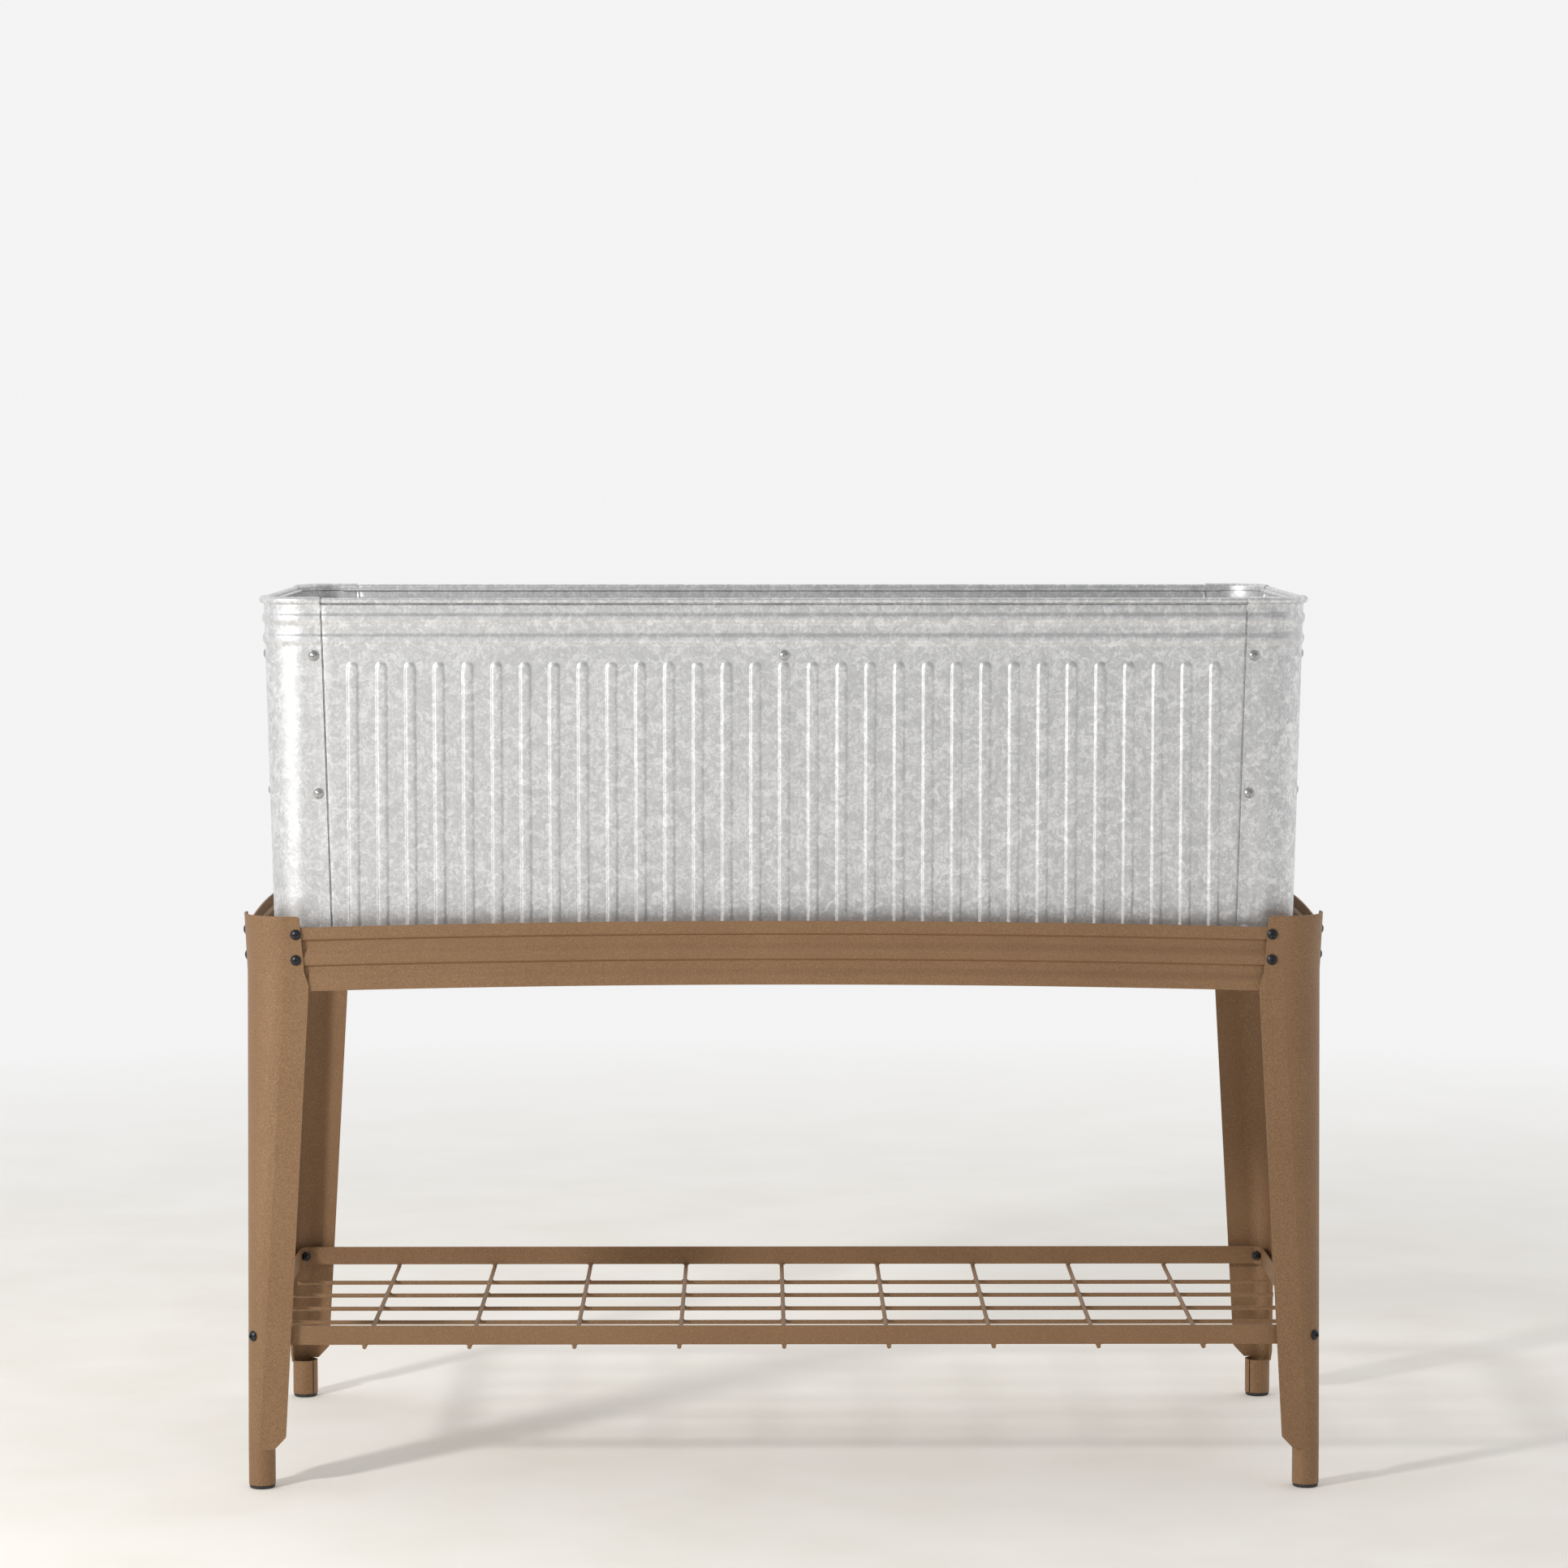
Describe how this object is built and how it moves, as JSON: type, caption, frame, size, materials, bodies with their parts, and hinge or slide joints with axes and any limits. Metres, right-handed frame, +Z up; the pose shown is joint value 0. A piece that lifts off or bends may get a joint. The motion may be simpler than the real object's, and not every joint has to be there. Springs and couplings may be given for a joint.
{
  "type": "raised planter",
  "caption": "Raised planter: ribbed galvanised sheet tub with rolled rim and round corner pieces, in a painted steel stand with corrugated aprons, tapered legs and a wire shelf.",
  "frame": {"origin": "centre of the footprint on the floor, under the feet", "axes": "+X along the length to the right of someone facing the front, +Y towards the back, +Z up; the front faces -Y"},
  "size_m": [0.9876, 0.4396, 0.813],
  "materials": {
    "galvanised": "galvanised sheet with a mottled spangle",
    "zinc": "bright zinc plated",
    "brown_coat": "fine textured metallic brown powder coat",
    "black_steel": "black plated, semi-gloss",
    "foot_plastic": "matte black plastic"
  },
  "bodies": {
    "stand": {"leg_front_left": "brown_coat", "leg_front_right": "brown_coat", "leg_back_left": "brown_coat", "leg_back_right": "brown_coat", "foot_front_left": "foot_plastic", "foot_front_right": "foot_plastic", "foot_back_left": "foot_plastic", "foot_back_right": "foot_plastic", "apron_front": "brown_coat", "apron_back": "brown_coat", "apron_left": "brown_coat", "apron_right": "brown_coat", "support_bar_left": "brown_coat", "support_bar_middle": "brown_coat", "support_bar_right": "brown_coat", "apron_screws": "black_steel", "apron_nuts": "black_steel", "shelf_frame": "brown_coat", "shelf_cross_wires": "brown_coat", "shelf_long_wires": "brown_coat", "shelf_screws": "black_steel", "shelf_spacers": "black_steel", "shelf_nuts": "black_steel"},
    "tub": {"tub_front_panel": "galvanised", "tub_back_panel": "galvanised", "tub_left_panel": "galvanised", "tub_right_panel": "galvanised", "tub_corner_front_left": "galvanised", "tub_corner_front_right": "galvanised", "tub_corner_back_left": "galvanised", "tub_corner_back_right": "galvanised", "tub_floor_pan": "galvanised", "tub_brace": "galvanised", "tub_screws": "zinc", "tub_nuts": "zinc"}
  },
  "joints": [
    {"name": "tub_lift", "type": "slide", "parent": "stand", "child": "tub", "axis": [0, 0, 1], "range_m": [0, 0.12]}
  ]
}
